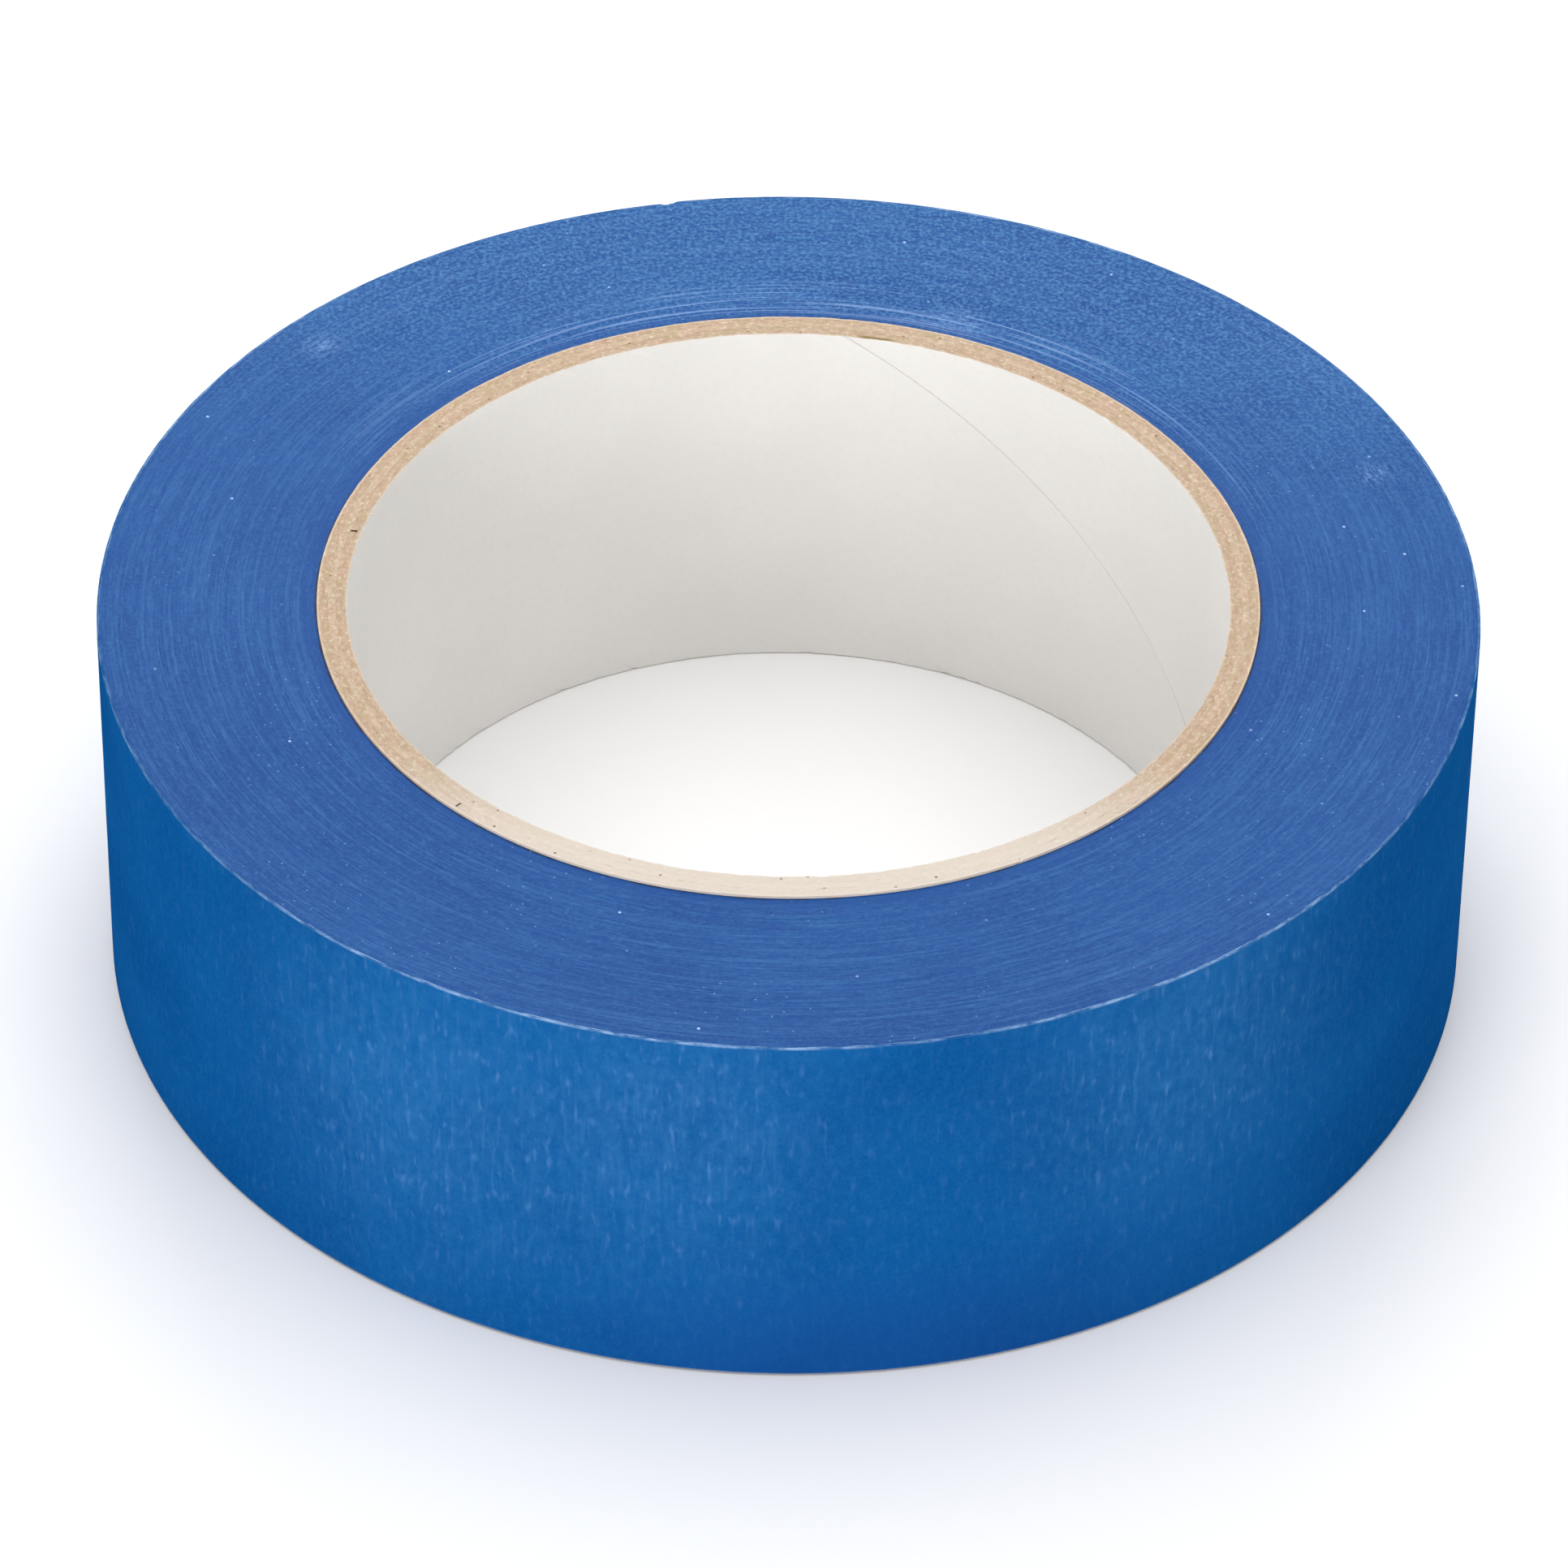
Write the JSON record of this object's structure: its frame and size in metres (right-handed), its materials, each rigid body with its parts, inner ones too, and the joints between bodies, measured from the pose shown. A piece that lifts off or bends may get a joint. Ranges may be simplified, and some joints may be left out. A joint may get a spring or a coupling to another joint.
{
  "type": "masking tape roll",
  "caption": "Roll of blue crepe-paper masking tape on a spiral-wound paperboard core, with a tape end that peels off.",
  "frame": {"origin": "on the bore's axis, in the plane of the core's lower end, where the roll stands when it lies flat", "axes": "+Z along the bore's axis; the tape's cut end is 101 degrees anticlockwise from +X, and the tape winds outwards anticlockwise seen from +Z"},
  "size_m": [0.1193, 0.1194, 0.0365],
  "materials": {
    "liner_paper": "smooth pale grey core liner",
    "core_board": "raw cut edge of tan recycled paperboard",
    "wrapper_paper": "raw cut edge of cream kraft paper",
    "wound_tape": "matt edges of tightly wound tape",
    "crepe_tape": "saturated crepe paper with a release coat, satin"
  },
  "bodies": {
    "roll": {"core_liner": "liner_paper", "core_inner_ply": "core_board", "core_middle_ply": "core_board", "core_outer_ply": "core_board", "core_wrapper": "wrapper_paper", "tape_winding": "wound_tape", "tape_outer_turn": "crepe_tape"},
    "tape_end_1": {"tape_end_1": "crepe_tape"},
    "tape_end_2": {"tape_end_2": "crepe_tape"},
    "tape_end_3": {"tape_end_3": "crepe_tape"},
    "tape_end_4": {"tape_end_4": "crepe_tape"},
    "tape_end_5": {"tape_end_5": "crepe_tape"},
    "tape_end_6": {"tape_end_6": "crepe_tape"},
    "tape_end_7": {"tape_end_7": "crepe_tape"},
    "tape_end_8": {"tape_end_8": "crepe_tape"}
  },
  "joints": [
    {"name": "end_peel", "type": "hinge", "parent": "roll", "child": "tape_end_1", "pos_m": [0.03592, 0.04771, 0.01825], "axis": [0, 0, -1], "range_deg": [0, 30]},
    {"name": "end_bend_2", "type": "hinge", "parent": "tape_end_1", "child": "tape_end_2", "pos_m": [0.03074, 0.0512, 0.01825], "axis": [0, 0, -1], "range_deg": [0, 24]},
    {"name": "end_bend_3", "type": "hinge", "parent": "tape_end_2", "child": "tape_end_3", "pos_m": [0.02522, 0.05414, 0.01825], "axis": [0, 0, -1], "range_deg": [0, 15]},
    {"name": "end_bend_4", "type": "hinge", "parent": "tape_end_3", "child": "tape_end_4", "pos_m": [0.01943, 0.05648, 0.01825], "axis": [0, 0, -1], "range_deg": [0, 9]},
    {"name": "end_bend_5", "type": "hinge", "parent": "tape_end_4", "child": "tape_end_5", "pos_m": [0.01342, 0.0582, 0.01825], "axis": [0, 0, -1], "range_deg": [0, 9]},
    {"name": "end_bend_6", "type": "hinge", "parent": "tape_end_5", "child": "tape_end_6", "pos_m": [0.00726, 0.05929, 0.01825], "axis": [0, 0, -1], "range_deg": [0, 9]},
    {"name": "end_bend_7", "type": "hinge", "parent": "tape_end_6", "child": "tape_end_7", "pos_m": [0.00102, 0.05972, 0.01825], "axis": [0, 0, -1], "range_deg": [0, 9]},
    {"name": "end_bend_8", "type": "hinge", "parent": "tape_end_7", "child": "tape_end_8", "pos_m": [-0.00522, 0.0595, 0.01825], "axis": [0, 0, -1], "range_deg": [0, 9]}
  ],
  "couplings": [
    {"joint": "end_bend_2", "follows": "end_peel", "ratio": 0.8},
    {"joint": "end_bend_3", "follows": "end_peel", "ratio": 0.5},
    {"joint": "end_bend_4", "follows": "end_peel", "ratio": 0.3},
    {"joint": "end_bend_5", "follows": "end_peel", "ratio": 0.3},
    {"joint": "end_bend_6", "follows": "end_peel", "ratio": 0.3},
    {"joint": "end_bend_7", "follows": "end_peel", "ratio": 0.3},
    {"joint": "end_bend_8", "follows": "end_peel", "ratio": 0.3}
  ]
}
